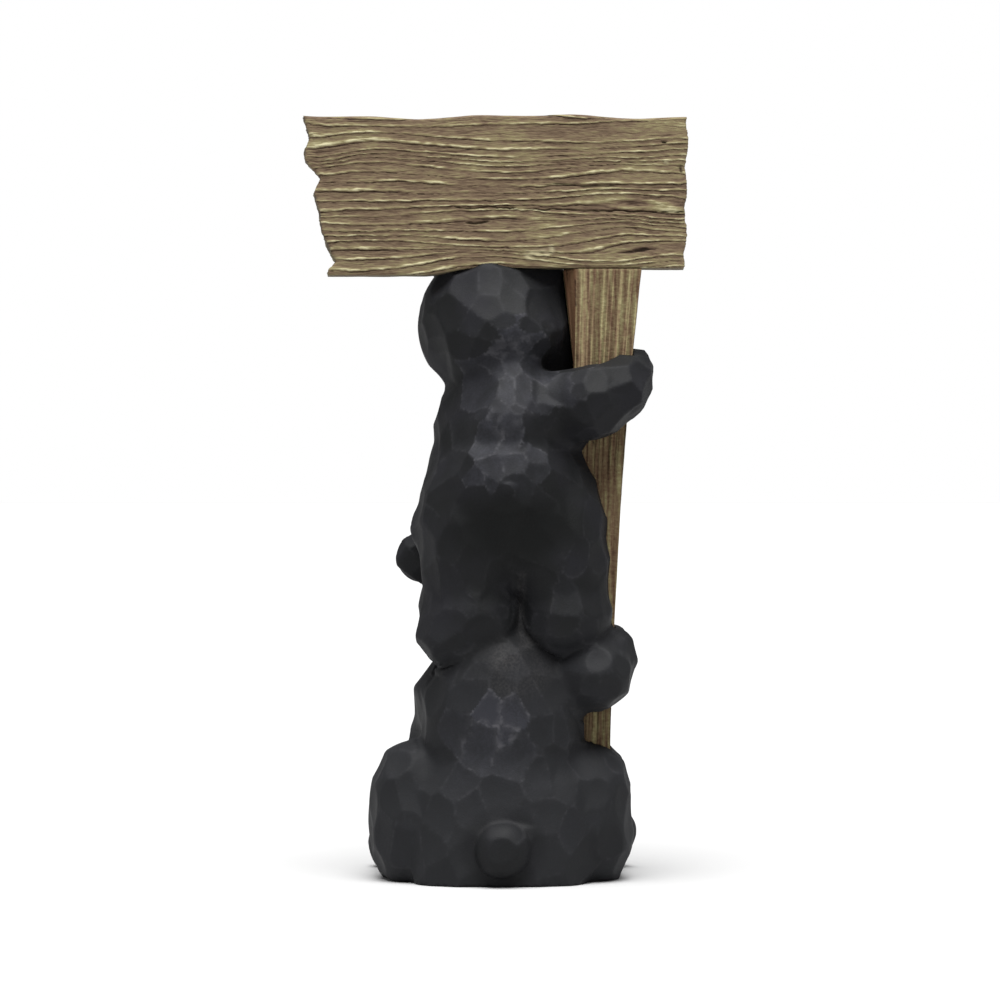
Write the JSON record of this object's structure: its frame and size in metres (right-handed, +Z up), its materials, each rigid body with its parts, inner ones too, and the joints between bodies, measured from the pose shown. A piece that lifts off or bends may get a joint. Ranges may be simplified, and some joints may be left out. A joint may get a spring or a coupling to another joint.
{
  "type": "stacked bears sign figure",
  "caption": "Faceted black bear standing on a seated bear's shoulders, both hugging a post under a rough plank sign; a free-standing garden figure.",
  "frame": {"origin": "on the ground, in the middle of the lower bear's flat underside", "axes": "+Z up; the bears face -Y, so their right is at -X; X runs along the plank"},
  "size_m": [0.2468, 0.1845, 0.4909],
  "materials": {
    "black_paint": "matt black paint with worn lighter edges, on cast resin",
    "post_paint": "brown wood paint with olive dry-brushed ridges, on cast resin",
    "plank_paint": "tan and olive dry-brushed wood paint over mauve-brown grooves, on cast resin"
  },
  "bodies": {
    "root": {"bears": "black_paint", "signpost": "post_paint", "sign_board": "plank_paint"}
  },
  "joints": []
}
